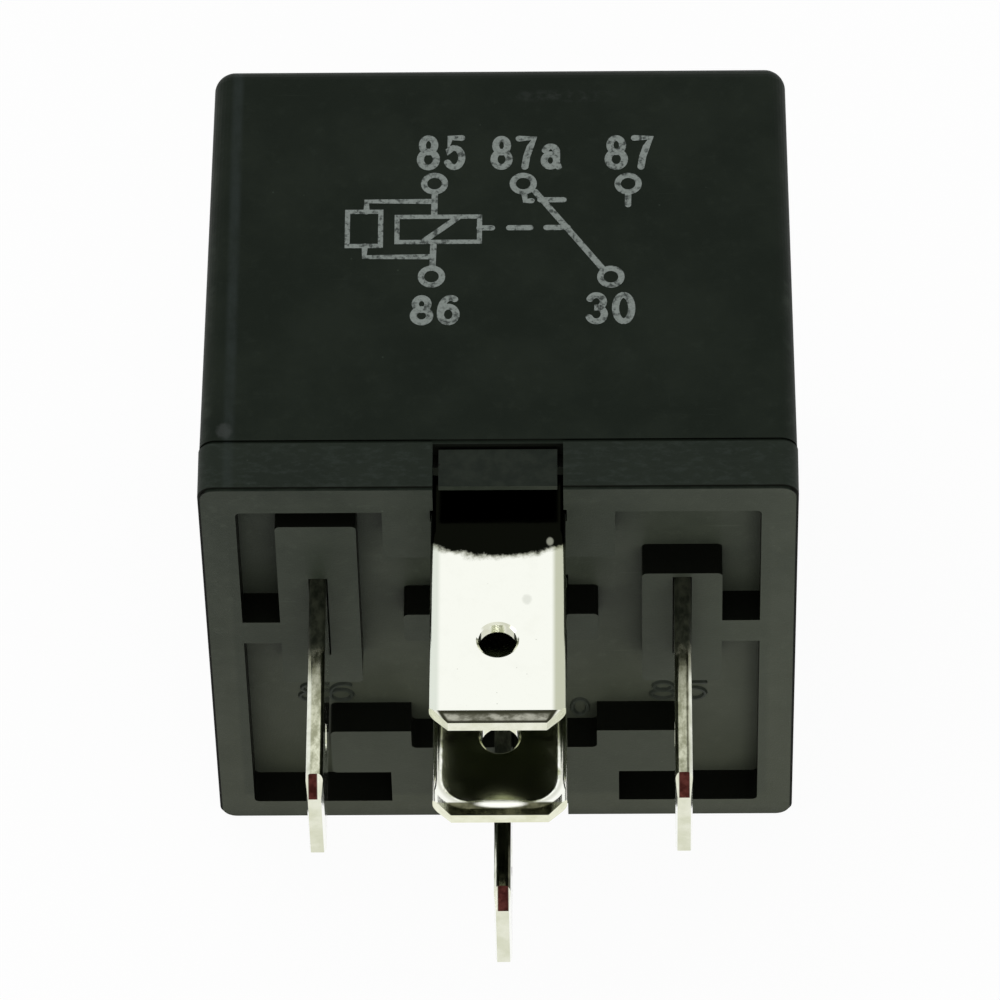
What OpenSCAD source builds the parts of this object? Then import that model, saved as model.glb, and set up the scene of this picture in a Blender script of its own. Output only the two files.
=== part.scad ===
// Changeover relay in the 28 mm cube size, with five push-on blades.
// Every piece is drawn upright: blades down, marked face to the front (-Y), z = 0 at the base's underside.
// lay_on_back() then turns it so that it lies on its back, blades along -Y, marked face up.

/* [Housing] */
// Width and depth of the base
body_w = 28; // [28:0.5:36]
// Height from the underside of the base to the top of the cover
housing_h = 25.2; // [25.2:0.2:32]
// Thickness of the cover's walls
wall_t = 1; // [0.8:0.1:1.2]
// How far each side of the cover leans in at the top
side_lean = 0.26; // [0:0.02:0.5]
// Radius of the upright corners
corner_r = 0.8; // [0.5:0.1:1.5]
// Radius of the edges around the top of the cover
top_r = 1; // [0.5:0.1:1.5]
// Height of the band around the foot of the cover
band_h = 2.65; // [2.2:0.05:3]
// How far the band stands out from the cover
band_out = 0.02; // [0.02:0.01:0.3]
// Height of the groove above the band
seam_h = 0.2; // [0.1:0.05:0.3]
// Depth of the groove above the band
seam_depth = 0.12; // [0.05:0.01:0.2]
// Width of the notch in the band, at the front and the back
notch_w = 6.1; // [5:0.1:6.2]

/* [Base] */
// Thickness of the flange that the cover stands on
flange_t = 0.15; // [0.1:0.05:0.5]
// Distance from the side of the cover in to the edge of the flange
flange_inset = 0.1; // [0:0.05:0.3]
// Height of the base, from its underside to its floor inside the cover
base_h = 3.2; // [3:0.1:3.6]
// Depth of the recesses in the underside
recess_depth = 1.7; // [1.2:0.1:2]
// Width of the rim along each side of the underside
side_rim = 1.7; // [1.4:0.1:2]
// Width of the rim along the front of the underside
front_rim = 1.9; // [1.6:0.1:2.2]
// Width of the rim along the back of the underside
back_rim = 1.4; // [1.4:0.1:2]
// Gap between the base and the inside of the cover
cover_gap = 0.1; // [0.05:0.05:0.2]
// Width of the blocks around the coil blades
block_w = 3.8; // [3:0.1:4]
// Gap around the latch tongue in the front notch
tongue_gap = 0.28; // [0.2:0.02:0.4]

/* [Blades] */
// Width of a blade
blade_w = 6.3; // [5.8:0.1:6.6]
// Thickness of a blade and of its strip inside
blade_t = 0.8; // [0.6:0.05:0.9]
// Length of a blade below the base
blade_l = 11.8; // [10:0.1:14]
// Size of the cut across each corner of the tip
tip_cut = 0.87; // [0.5:0.05:1.2]
// Length of the slope on each face of the tip
tip_slope_l = 0.65; // [0.3:0.05:1]
// Depth of the slope on each face of the tip
tip_slope_t = 0.09; // [0.05:0.01:0.2]
// Radius of the rolled long edges
blade_edge_r = 0.25; // [0.1:0.05:0.3]
// Diameter of the detent hole
detent_d = 1.8; // [1.5:0.1:2.2]
// Distance from the tip to the centre of the detent hole
detent_from_tip = 4.55; // [4:0.05:5.5]
// The same distance on blade 87a
nc_detent_from_tip = 4.35; // [4:0.05:5.5]
// Width of the broken edge around the detent hole
detent_edge = 0.1; // [0.05:0.05:0.15]
// Clearance around a blade in its slot in the base
slot_gap = 0.05; // [0.02:0.01:0.1]
// Distance between the two coil blades
coil_pitch = 17.2; // [16.8:0.1:18]
// Distance from the front of the base to the face of blade 87
front_inset = 1.8; // [1.6:0.1:2]
// Distance between the faces of blades 87 and 87a
contact_pitch = 7.8; // [7.6:0.1:8.2]
// Distance of the coil blades' centre in front of the middle of the base
coil_blade_front = 3.45; // [3:0.05:4]
// Distance of blade 30's centre behind the middle of the base
common_blade_back = 6.35; // [6:0.05:7]

/* [Magnet] */
// Thickness of the yoke and of the armature
iron_t = 1.2; // [1:0.1:1.4]
// Height of the coil, over the bobbin's flanges
bobbin_h = 11.7; // [10:0.1:12]
// Radius of the bobbin's flanges
bobbin_r = 6.5; // [6:0.1:6.6]
// Thickness of each flange of the bobbin
bobbin_flange_t = 1; // [0.6:0.1:1.2]
// Distance from the rim of the bobbin's flanges in to the wound copper
winding_inset = 0.4; // [0.4:0.1:1.5]
// Radius of the iron core
core_r = 2.6; // [2:0.1:3]
// Radius of the pole face on top of the core
pole_r = 4.2; // [3.6:0.1:4.4]
// Thickness of the pole face
pole_t = 1; // [0.8:0.1:1.2]
// Distance of the coil's axis behind the middle of the base
coil_back = 1.2; // [1:0.1:1.6]
// Angle through which the armature opens
open_angle = 2.5; // [2:0.1:3]

/* [Contacts] */
// Thickness of the contact leaf
leaf_t = 0.25; // [0.2:0.05:0.3]
// Radius of the contact faces
contact_r = 1.6; // [1.2:0.1:1.8]
// Height of each contact head
contact_h = 0.8; // [0.6:0.05:0.9]
// Radius of each contact's shank
contact_shank_r = 0.75; // [0.6:0.05:0.9]
// Distance from the armature's hinge line to the contacts
contact_reach = 17.7; // [17.4:0.1:18]
// Gap left between closed contacts
contact_gap = 0.03; // [0.02:0.01:0.05]

/* [Spring, braid and resistor] */
// Wire diameter of the return spring
spring_wire_d = 0.4; // [0.3:0.05:0.45]
// Mean radius of the return spring
spring_r = 1; // [0.9:0.05:1.05]
// Number of turns of the return spring
spring_turns = 10; // [6:1:12]
// Diameter of the copper braid
braid_d = 1; // [0.8:0.1:1.2]
// Diameter of the resistor's body
resistor_d = 2.3; // [1.8:0.1:2.3]
// Length of the resistor's body
resistor_l = 6.4; // [5:0.1:7]
// Diameter of the resistor's leads
resistor_wire_d = 0.6; // [0.4:0.05:0.6]

/* [Hidden] */
$fn = 48;
// Facets around the round edges of the cover
edge_facets = 32;
// Facets around a thin wire or lead
wire_facets = 24;
// Overshoot of a cut past the face that it opens
cut = 0.1;
// Clearance of a rivet or core in its hole
rivet_gap = 0.02;
// Clearance under the armature where it rocks and closes
hinge_gap = 0.03;

// Housing
half_w = body_w / 2;
band_w = body_w + 2 * band_out;
inner_w = body_w - 2 * wall_t;
plug_w = inner_w - 2 * cover_gap;
top_w = body_w - 2 * side_lean;
bead_r = 0.35;
bead_out = 0.15;
bead_l = 7;
bead_z = flange_t + 1.6;
island_r = 0.25;
mid_z = (housing_h - blade_l) / 2;
rest_x = 3.6;
rest_w = 1.6;
rest_l = 4;

// Recess in the underside, and what stands in it
recess_x = half_w - side_rim;
recess_front = -half_w + front_rim;
recess_back = half_w - back_rim;
front_pad_w = 10.9;
front_pad_l = 3.7;
block_gap = 1.15;
block_past_blade = 2.4;
block_before_blade = 0.35;
rib_t = 1.75;
rib_back = -1.25;
bar_w = 9.25;
bar_l = 2.2;
platform_w = 16.8;
platform_front = 6.45;
platform_l = 3.6;
platform_notch_w = 9;
platform_notch_l = 1.45;
stem_w = 11.1;

// Latch tongue and the pocket behind it
tongue_t = 0.3;
tongue_in = 0.3;
tongue_low = 0.35;
tongue_high = band_h - 0.2;
pocket_h = 2;

// Where the blades stand
coil_x = coil_pitch / 2;
coil_y = -coil_blade_front;
no_face = -half_w + front_inset;
nc_face = no_face + contact_pitch;
common_y = common_blade_back;
detent_z = detent_from_tip - blade_l;
nc_detent_z = nc_detent_from_tip - blade_l;

// Stack of the magnet, from the base's floor up
foot_top = base_h + blade_t;
leg_top = foot_top + iron_t;
bobbin_top = leg_top + bobbin_h;
yoke_top = bobbin_top + pole_t;
armature_z = yoke_top + hinge_gap;
leaf_z = armature_z + iron_t;

// Yoke and armature in plan
coil_axis_y = coil_back;
winding_r = bobbin_r - winding_inset;
yoke_front = coil_axis_y + bobbin_r + 0.6;
hinge_y = yoke_front + iron_t;
leg_front = coil_axis_y - 4.2;
yoke_w = 11.2;
ear_w = 0.95;
ear_h = 0.9;
armature_w = yoke_w - 2 * ear_w - 0.3;
armature_front = coil_axis_y - bobbin_r + 0.1;
tail_w = 3.4;
tail_t = 0.8;
tail_l = 2.25;
spring_hole_r = 0.4;
spring_y = hinge_y + 1.7;
hook_y = spring_y - spring_r;
lug_z = foot_top + 3.6;
tab_w = 2;
tab_drop = base_h - 1;
// Front left corner of each tab under the yoke
yoke_tab_places = [[-yoke_w / 2 + 0.4, yoke_front], [1.5, leg_front], [-3.5, leg_front]];
leg_w = 10;
yoke_rivet_r = 0.9;
yoke_rivet_x = 1.1;
yoke_rivet_y = common_y - 0.7;
foot_w = 2.2;
foot_back = hinge_y + 2.4;
pole_edge = 0.2;
armature_corner_r = 0.8;

// Contacts
contact_y = hinge_y - contact_reach;
rivet_head_h = 0.3;
no_contact_z = leaf_z - contact_h - contact_gap;
no_arm_top = no_contact_z - contact_h;
nc_lift = contact_reach * sin(open_angle) + (leaf_t + contact_h) * (cos(open_angle) - 1);
nc_contact_z = leaf_z + leaf_t + contact_h + nc_lift + contact_r * sin(open_angle) + contact_gap;
nc_arm_low = nc_contact_z + contact_h;
arm_w = 4;
no_strip_w = 4.8;
arm_end = contact_y + 1.8;
bend_r = 0.4;
nc_post_face = no_face + 2;
nc_post_in = 4.4;
nc_post_out = 7.2;
leaf_w = 4.8;
leaf_back = hinge_y - 1.5;
leaf_front = contact_y - 1.7;
braid_x = 3.4;
braid_tab_w = 1.8;
braid_tab_back = hinge_y + 1.9;
leaf_corner_r = 0.6;
leaf_ear_l = 3;
head_r = contact_r - 0.1;
head_edge = 0.25;
face_edge = 0.15;
peen_r = 1.1;
peen_edge = 0.1;
leaf_rivet_r = 0.7;
leaf_rivet_head_r = 1.2;
leaf_rivet_y = [coil_axis_y - 3.4, coil_axis_y + 3.4];

// Posts of the coil blades, the resistor between them and the coil's ends
post_top = base_h + 6.2;
prong_w = 1.6;
fork_z = base_h + 2.4;
resistor_clear = 0.2;
resistor_y = min(
    coil_y - blade_w / 2 + resistor_wire_d / 2,
    coil_axis_y - winding_r - resistor_clear - resistor_d / 2
);
prong_front = min(-blade_w / 2, resistor_y - resistor_wire_d / 2 - coil_y);
resistor_z = post_top - 1.8;
lead_y = coil_y + blade_w / 2 - prong_w / 2;
lead_z = leg_top + bobbin_flange_t + 0.6;
lead_d = 0.3;
winding_gap = 0.05;
hub_r = core_r + 0.8;
core_gap = 0.05;
spigot_r = 2;
guide_w = 1.6;
guide_gap = 0.3;
guide_end = coil_x - blade_t / 2 - guide_gap;
lead_in = 1;
lead_start = sqrt(pow(winding_r, 2) - pow(coil_axis_y - lead_y, 2)) - lead_in;

// Return spring, with the height of the middle of each hook on the lug and on the open armature's tail
low_hook_z = lug_z + tail_t / 2;
high_hook_z = armature_z + tail_t / 2 - (spring_y - hinge_y) * sin(open_angle);
hook_turn = 235;
hook_step = 23.5;
coil_low = low_hook_z + spring_r + spring_wire_d;
coil_high = high_hook_z - spring_r - spring_wire_d;
turn_steps = 14;
spring_sides = 8;

// Braid
braid_gap = 0.1;
braid_top = leaf_z - (braid_tab_back - hinge_y) * sin(open_angle) - braid_gap;
braid_bow = 0.5;
braid_y = hinge_y + 1.2;
braid_steps = 24;
braid_sides = 10;

// Resistor: the lacquer stands thicker over its end caps
resistor_cap_l = 1;
resistor_edge = 0.2;
resistor_waist = 0.15;

// ---- helpers ----

// Turns what is drawn upright onto its back, with the middle of its length at the origin
module lay_on_back() {
    translate([0, -mid_z, band_w / 2])
        rotate([-90, 0, 0])
            children();
}

// Rectangle between four edges
module box2(left, right, front, back) {
    translate([left, front])
        square([right - left, back - front]);
}

// Rectangle of a given size with true round corners, about the origin
module rounded_square(w, d, r) {
    square([w - 2 * r, d], center = true);
    square([w, d - 2 * r], center = true);
    for (x = [-1, 1], y = [-1, 1])
        translate([x * (w / 2 - r), y * (d / 2 - r)])
            circle(r);
}

// Rectangle between four edges with round corners
module rounded_box2(left, right, front, back, r) {
    translate([(left + right) / 2, (front + back) / 2])
        rounded_square(right - left, back - front, r);
}

// Solid box between two corners
module block(low, high) {
    translate(low)
        cube(high - low);
}

// Extrudes a shape drawn in the (x, z) plane along y, between two values of y
module along_y(from, to) {
    translate([0, to, 0])
        rotate([90, 0, 0])
            linear_extrude(to - from)
                children();
}

// Extrudes a shape drawn in the (y, z) plane along x, between two values of x
module along_x(from, to) {
    translate([from, 0, 0])
        rotate([90, 0, 90])
            linear_extrude(to - from)
                children();
}

// Quarter ring that joins two strips of sheet at a bend; its corner of turn is at the origin
module bend(quarter) {
    rotate(90 * quarter)
        difference() {
            circle(bend_r + blade_t);
            circle(bend_r);
            translate([-2 * blade_t - bend_r, -2 * blade_t - bend_r])
                square([2 * blade_t + bend_r, 4 * blade_t + 2 * bend_r]);
            translate([-2 * blade_t - bend_r, -2 * blade_t - bend_r])
                square([4 * blade_t + 2 * bend_r, 2 * blade_t + bend_r]);
        }
}

// Tube of radius r along a list of frames, each [point, across, along]
module sweep(frames, r, sides) {
    n = len(frames);
    points = [
        for (f = frames, k = [0 : sides - 1])
            let (a = 360 * k / sides, up = cross(f[2], f[1]))
                f[0] + r * cos(a) * f[1] + r * sin(a) * up
    ];
    walls = [
        for (i = [0 : n - 2], k = [0 : sides - 1], half = [0, 1])
            let (a = i * sides + k, b = i * sides + (k + 1) % sides)
                half == 0 ? [a, b, b + sides] : [a, b + sides, a + sides]
    ];
    start_cap = [[for (k = [sides - 1 : -1 : 0]) k]];
    end_cap = [[for (k = [0 : sides - 1]) (n - 1) * sides + k]];
    polyhedron(points, concat(walls, start_cap, end_cap), convexity = 10);
}

// Swings what is drawn with the armature closed to where it rests open
module opened() {
    translate([0, hinge_y, yoke_top])
        rotate([-open_angle, 0, 0])
            translate([0, -hinge_y, -yoke_top])
                children();
}

// ---- housing ----

// Solid with a straight foot, which narrows from there to a square head with round edges
module leaning_block(low, knee, high, foot_w, head_w, upright_r, round_r) {
    hull() {
        translate([0, 0, low])
            linear_extrude(knee - low)
                rounded_square(foot_w, foot_w, upright_r);
        for (x = [-1, 1], y = [-1, 1])
            translate([x * (head_w / 2 - round_r), y * (head_w / 2 - round_r), high - round_r])
                sphere(round_r, $fn = edge_facets);
    }
}

// Notches through the band for the base's latches
module band_notches() {
    for (side = [-1, 1])
        translate([-notch_w / 2, side * half_w - wall_t - cut, 0])
            cube([notch_w, 2 * (wall_t + cut), band_h]);
}

// Half-round beads on both sides of the base, or the grooves that they snap into
module snap_beads(extra) {
    for (side = [-1, 1])
        translate([side * (plug_w / 2 + bead_out - bead_r), 0, bead_z])
            rotate([90, 0, 0])
                cylinder(r = bead_r + extra, h = bead_l + 2 * extra, center = true);
}

// Groove around the cover, just above the band
module seam_groove() {
    floor_w = body_w - 2 * seam_depth;
    translate([0, 0, band_h])
        linear_extrude(seam_h)
            difference() {
                square(body_w + 2 * wall_t, center = true);
                rounded_square(floor_w, floor_w, corner_r - seam_depth);
            }
}

module cover() {
    color([0.12, 0.13, 0.12])
        difference() {
            union() {
                leaning_block(flange_t, band_h / 2, housing_h, body_w, top_w, corner_r, top_r);
                translate([0, 0, flange_t])
                    linear_extrude(band_h - flange_t)
                        rounded_square(band_w, band_w, corner_r);
            }
            leaning_block(
                flange_t - cut, base_h, housing_h - wall_t,
                inner_w, top_w - 2 * wall_t, corner_r, corner_r
            );
            seam_groove();
            band_notches();
            snap_beads(cover_gap);
        }
}

// Plan of everything that stays level with the rim inside the recess
module underside_islands() {
    rounded_box2(
        -front_pad_w / 2, front_pad_w / 2, recess_front - front_rim / 2, recess_front + front_pad_l, island_r
    );
    // Blocks around the coil blades: the left one runs on towards the front
    block_back = coil_y + blade_w / 2 + block_past_blade;
    rounded_box2(
        -coil_x - block_w / 2, -coil_x + block_w / 2, recess_front + block_gap, block_back, island_r
    );
    rounded_box2(
        coil_x - block_w / 2, coil_x + block_w / 2,
        coil_y - blade_w / 2 - block_before_blade, block_back, island_r
    );
    // Ribs from the side rims to the blocks
    box2(-half_w, -coil_x, rib_back - rib_t, rib_back);
    box2(coil_x, half_w, rib_back - rib_t, rib_back);
    // Bar behind blade 87a
    rounded_box2(-bar_w / 2, bar_w / 2, nc_face + blade_t, nc_face + blade_t + bar_l, island_r);
    // Platform around blade 30
    difference() {
        union() {
            rounded_box2(
                -platform_w / 2, platform_w / 2, platform_front, platform_front + platform_l, island_r
            );
            box2(-stem_w / 2, stem_w / 2, platform_front + island_r, half_w - back_rim / 2);
        }
        rounded_box2(
            -platform_notch_w / 2, platform_notch_w / 2,
            platform_front - island_r - cut, platform_front + platform_notch_l, island_r
        );
    }
}

module underside_recess() {
    difference() {
        rounded_box2(-recess_x, recess_x, recess_front, recess_back, island_r);
        underside_islands();
    }
}

// Plan of the five slots that the blades pass through
module blade_slots() {
    slot_w = blade_w + 2 * slot_gap;
    slot_t = blade_t + 2 * slot_gap;
    for (face = [no_face, nc_face])
        translate([0, face + blade_t / 2])
            square([slot_w, slot_t], center = true);
    for (x = [-coil_x, coil_x])
        translate([x, coil_y])
            square([slot_t, slot_w], center = true);
    translate([0, common_y])
        square([slot_t, slot_w], center = true);
}

// Pocket in front of blade 87 and notch at the back, both open through the flange
module latch_pockets() {
    block([-notch_w / 2, -half_w - cut, -cut], [notch_w / 2, no_face, pocket_h]);
    block([-notch_w / 2, plug_w / 2, -cut], [notch_w / 2, half_w + cut, flange_t]);
}

// Tongue that fills the front notch of the band, hung from the base's floor
module latch_tongue() {
    tongue_w = notch_w - 2 * tongue_gap;
    face = -half_w + tongue_in;
    block([-tongue_w / 2, face, tongue_low], [tongue_w / 2, face + tongue_t, tongue_high]);
    block([-tongue_w / 2, face, pocket_h], [tongue_w / 2, -plug_w / 2 + cut, tongue_high]);
}

// Stops under the front corners of the yoke
module yoke_rests() {
    for (side = [-1, 1])
        block(
            [side * rest_x - rest_w / 2, coil_axis_y - rest_l / 2, base_h - cut],
            [side * rest_x + rest_w / 2, coil_axis_y + rest_l / 2, foot_top]
        );
}

// Sockets for the tabs that hold the yoke down
module yoke_sockets() {
    for (place = yoke_tab_places)
        block(
            [place[0] - slot_gap, place[1] - slot_gap, base_h - tab_drop / 2],
            [place[0] + tab_w + slot_gap, place[1] + iron_t + slot_gap, base_h + cut]
        );
}

module base() {
    flange_w = body_w - 2 * flange_inset;
    color([0.22, 0.23, 0.21])
        union() {
            difference() {
                union() {
                    linear_extrude(flange_t)
                        rounded_square(flange_w, flange_w, corner_r - flange_inset);
                    linear_extrude(base_h)
                        rounded_square(plug_w, plug_w, corner_r);
                    snap_beads(0);
                    yoke_rests();
                }
                translate([0, 0, -cut])
                    linear_extrude(recess_depth + cut)
                        underside_recess();
                translate([0, 0, -cut])
                    linear_extrude(base_h + 2 * cut)
                        blade_slots();
                latch_pockets();
                yoke_sockets();
            }
            latch_tongue();
        }
}

// ---- blades ----

// One blade below z = 0 with its shank up to a given height: wide along x, thin along y, about the origin
module blade(shank_h, hole_z = detent_z) {
    w = blade_w / 2;
    t = blade_t / 2;
    difference() {
        intersection() {
            along_y(-t, t)
                polygon([
                    [-w, shank_h], [-w, tip_cut - blade_l], [tip_cut - w, -blade_l],
                    [w - tip_cut, -blade_l], [w, tip_cut - blade_l], [w, shank_h]
                ]);
            along_x(-w, w)
                polygon([
                    [-t, shank_h], [-t, tip_slope_l - blade_l], [tip_slope_t - t, -blade_l],
                    [t - tip_slope_t, -blade_l], [t, tip_slope_l - blade_l], [t, shank_h]
                ]);
            translate([0, 0, -blade_l - cut])
                linear_extrude(blade_l + shank_h + 2 * cut)
                    rounded_square(blade_w, blade_t, blade_edge_r);
        }
        detent_hole(hole_z);
    }
}

// Detent hole through a blade, with its broken edges
module detent_hole(hole_z) {
    r = detent_d / 2;
    translate([0, 0, hole_z])
        rotate([90, 0, 0]) {
            cylinder(r = r, h = blade_t + 2 * cut, center = true);
            for (side = [0, 1])
                mirror([0, 0, side])
                    translate([0, 0, blade_t / 2 - detent_edge])
                        cylinder(r1 = r, r2 = r + 2 * detent_edge, h = 2 * detent_edge);
        }
}

// Normally open contact: straight up inside the front wall, then back under the moving contact
module terminal_87() {
    corner_y = no_face + blade_t + bend_r;
    corner_z = no_arm_top - blade_t - bend_r;
    color("silver")
        difference() {
            union() {
                translate([0, no_face + blade_t / 2, 0])
                    blade(base_h);
                along_x(-no_strip_w / 2, no_strip_w / 2)
                    box2(no_face, no_face + blade_t, base_h, corner_z);
                along_x(-arm_w / 2, arm_w / 2) {
                    translate([corner_y, corner_z])
                        bend(1);
                    box2(no_face, no_face + blade_t, corner_z - cut, corner_z);
                    box2(corner_y, arm_end, no_arm_top - blade_t, no_arm_top);
                }
            }
            contact_hole(no_arm_top - blade_t);
        }
}

// Normally closed contact: forward above the base's floor, up a post beside terminal 87, then back
// over the moving contact
module terminal_87a() {
    low = base_h + bend_r;
    high = nc_arm_low + blade_t;
    fold_y = nc_post_face + blade_t + bend_r;
    foot_z = low + blade_t + bend_r;
    head_z = nc_arm_low - bend_r;
    color("silver")
        difference() {
            union() {
                translate([0, nc_face + blade_t / 2, 0])
                    blade(base_h, nc_detent_z);
                // Floor strip, with the bend at the blade
                along_x(-blade_w / 2, blade_w / 2) {
                    translate([nc_face - bend_r, base_h])
                        bend(0);
                    box2(nc_face, nc_face + blade_t, base_h - cut, base_h);
                }
                block([-blade_w / 2, fold_y, low], [nc_post_out, nc_face - bend_r, low + blade_t]);
                // Post, with a bend at its foot and another at its head
                along_x(nc_post_in, nc_post_out) {
                    translate([fold_y, foot_z])
                        bend(2);
                    box2(nc_post_face, nc_post_face + blade_t, foot_z, head_z);
                    translate([fold_y, head_z])
                        bend(1);
                }
                // Arm
                block([nc_post_in, fold_y, nc_arm_low], [nc_post_out, arm_end, high]);
                block([-arm_w / 2, nc_post_face + blade_t / 2, nc_arm_low], [nc_post_in, arm_end, high]);
            }
            contact_hole(nc_arm_low);
        }
}

// Hole through an arm for its contact's shank
module contact_hole(z) {
    translate([0, contact_y, z - cut])
        cylinder(r = contact_shank_r + rivet_gap, h = blade_t + 2 * cut);
}

// Common terminal: its foot lies under the yoke and runs on behind it for the braid
module terminal_30() {
    color("silver")
        difference() {
            union() {
                translate([0, common_y, 0])
                    rotate(90)
                        blade(foot_top);
                block([0, common_y - blade_w / 2, base_h], [foot_w, common_y + blade_w / 2, foot_top]);
                block([0, common_y, base_h], [braid_x + braid_tab_w / 2, foot_back, foot_top]);
            }
            yoke_rivet_hole();
        }
}

// Coil terminal: a forked post that takes the resistor at the front and the coil's end at the back
module coil_terminal(side) {
    half = blade_w / 2;
    translate([side * coil_x, coil_y, 0])
        rotate(90) {
            blade(base_h);
            along_y(-blade_t / 2, blade_t / 2)
                difference() {
                    box2(prong_front, half, base_h, post_top);
                    box2(-half + prong_w, half - prong_w, fork_z, post_top + cut);
                }
        }
}

module terminal_85() {
    color("silver")
        coil_terminal(1);
}

module terminal_86() {
    color("silver")
        coil_terminal(-1);
}

// ---- magnet ----

// Hole through the foot of terminal 30 and the yoke's leg
module yoke_rivet_hole() {
    translate([yoke_rivet_x, yoke_rivet_y, base_h - cut])
        cylinder(r = yoke_rivet_r + rivet_gap, h = leg_top - base_h + 2 * cut);
}

module yoke() {
    half = yoke_w / 2;
    color([0.62, 0.6, 0.52])
        difference() {
            union() {
                // Leg under the coil, and the upright behind it
                block([-leg_w / 2, leg_front, foot_top], [leg_w / 2, hinge_y, leg_top]);
                block([-half, yoke_front, foot_top], [half, hinge_y, yoke_top]);
                // Ears that keep the armature in line
                for (side = [0, 1])
                    mirror([side, 0, 0])
                        block([half - ear_w, yoke_front, yoke_top - cut], [half, hinge_y, yoke_top + ear_h]);
                // Lug for the return spring
                block([-tail_w / 2, hinge_y - cut, lug_z], [tail_w / 2, hinge_y + tail_l, lug_z + tail_t]);
                for (place = yoke_tab_places)
                    block(
                        [place[0], place[1], base_h - tab_drop / 2 + slot_gap],
                        [place[0] + tab_w, place[1] + iron_t, foot_top + cut]
                    );
            }
            translate([0, coil_axis_y, foot_top - cut])
                cylinder(r = spigot_r + rivet_gap, h = iron_t + 2 * cut);
            translate([0, hook_y, lug_z - cut])
                cylinder(r = spring_hole_r, h = tail_t + 2 * cut);
            yoke_rivet_hole();
        }
}

module yoke_rivet() {
    color("silver")
        translate([yoke_rivet_x, yoke_rivet_y, base_h])
            cylinder(r = yoke_rivet_r, h = leg_top - base_h);
}

module core() {
    color([0.62, 0.6, 0.52])
        translate([0, coil_axis_y, 0])
            rotate_extrude()
                polygon([
                    [0, foot_top], [spigot_r, foot_top], [spigot_r, leg_top], [core_r, leg_top],
                    [core_r, bobbin_top], [pole_r, bobbin_top], [pole_r, yoke_top - pole_edge],
                    [pole_r - pole_edge, yoke_top], [0, yoke_top]
                ]);
}

module bobbin() {
    color([0.85, 0.84, 0.78])
        difference() {
            union() {
                translate([0, coil_axis_y, leg_top])
                    rotate_extrude()
                        polygon([
                            [core_r + core_gap, 0], [bobbin_r, 0], [bobbin_r, bobbin_flange_t],
                            [hub_r, bobbin_flange_t], [hub_r, bobbin_h - bobbin_flange_t],
                            [bobbin_r, bobbin_h - bobbin_flange_t], [bobbin_r, bobbin_h],
                            [core_r + core_gap, bobbin_h]
                        ]);
                // Ears that guide the coil's ends towards their terminals
                for (side = [0, 1])
                    mirror([side, 0, 0])
                        translate([hub_r, lead_y - guide_w / 2, leg_top])
                            cube([guide_end - hub_r, guide_w, bobbin_flange_t]);
            }
            // Grooves for the coil's ends across the ears
            for (side = [0, 1])
                mirror([side, 0, 0])
                    translate([bobbin_r, lead_y, leg_top + bobbin_flange_t])
                        rotate([0, 90, 0])
                            cylinder(r = lead_d, h = guide_end - bobbin_r + cut);
        }
}

// Wound copper with its two ends, which run out to the posts of the coil blades
module coil_winding() {
    low = leg_top + bobbin_flange_t + winding_gap;
    high = leg_top + bobbin_h - bobbin_flange_t - winding_gap;
    color([0.72, 0.4, 0.22])
        union() {
            translate([0, coil_axis_y, low])
                difference() {
                    cylinder(r = winding_r, h = high - low);
                    translate([0, 0, -cut])
                        cylinder(r = hub_r + winding_gap, h = high - low + 2 * cut);
                }
            for (side = [0, 1])
                mirror([side, 0, 0])
                    translate([lead_start, lead_y, lead_z])
                        rotate([0, 90, 0])
                            cylinder(d = lead_d, h = coil_x - blade_t / 2 - lead_start, $fn = wire_facets);
        }
}

module armature() {
    color([0.62, 0.6, 0.52])
        opened()
            difference() {
                union() {
                    translate([0, 0, armature_z])
                        linear_extrude(iron_t) {
                            rounded_box2(
                                -armature_w / 2, armature_w / 2,
                                armature_front, hinge_y, armature_corner_r
                            );
                            box2(
                                -armature_w / 2, armature_w / 2,
                                hinge_y - 2 * armature_corner_r, hinge_y
                            );
                        }
                    block(
                        [-tail_w / 2, hinge_y - cut, armature_z],
                        [tail_w / 2, hinge_y + tail_l, armature_z + tail_t]
                    );
                }
                translate([0, hook_y, armature_z - cut])
                    cylinder(r = spring_hole_r, h = tail_t + 2 * cut);
                for (y = leaf_rivet_y)
                    translate([0, y, armature_z - cut])
                        cylinder(r = leaf_rivet_r + rivet_gap, h = iron_t + 2 * cut);
            }
}

// Rivets through the armature and the leaf, flush below and headed above
module armature_rivets() {
    color("silver")
        opened()
            for (y = leaf_rivet_y)
                translate([0, y, armature_z]) {
                    cylinder(r = leaf_rivet_r, h = iron_t + leaf_t);
                    translate([0, 0, iron_t + leaf_t])
                        cylinder(r = leaf_rivet_head_r, h = rivet_head_h);
                }
}

// ---- contacts ----

// Copper leaf on the armature: its front end carries the moving contact, its back corner takes the braid
module contact_leaf() {
    color([0.8, 0.52, 0.3])
        opened()
            translate([0, 0, leaf_z])
                linear_extrude(leaf_t)
                    difference() {
                        union() {
                            rounded_box2(-leaf_w / 2, leaf_w / 2, leaf_front, leaf_back, leaf_corner_r);
                            box2(0, braid_x + braid_tab_w / 2, leaf_back - leaf_ear_l, leaf_back);
                            box2(
                                braid_x - braid_tab_w / 2, braid_x + braid_tab_w / 2,
                                leaf_back - leaf_ear_l, braid_tab_back
                            );
                        }
                        translate([0, contact_y])
                            circle(contact_shank_r + rivet_gap);
                        for (y = leaf_rivet_y)
                            translate([0, y])
                                circle(leaf_rivet_r + rivet_gap);
                    }
}

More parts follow.
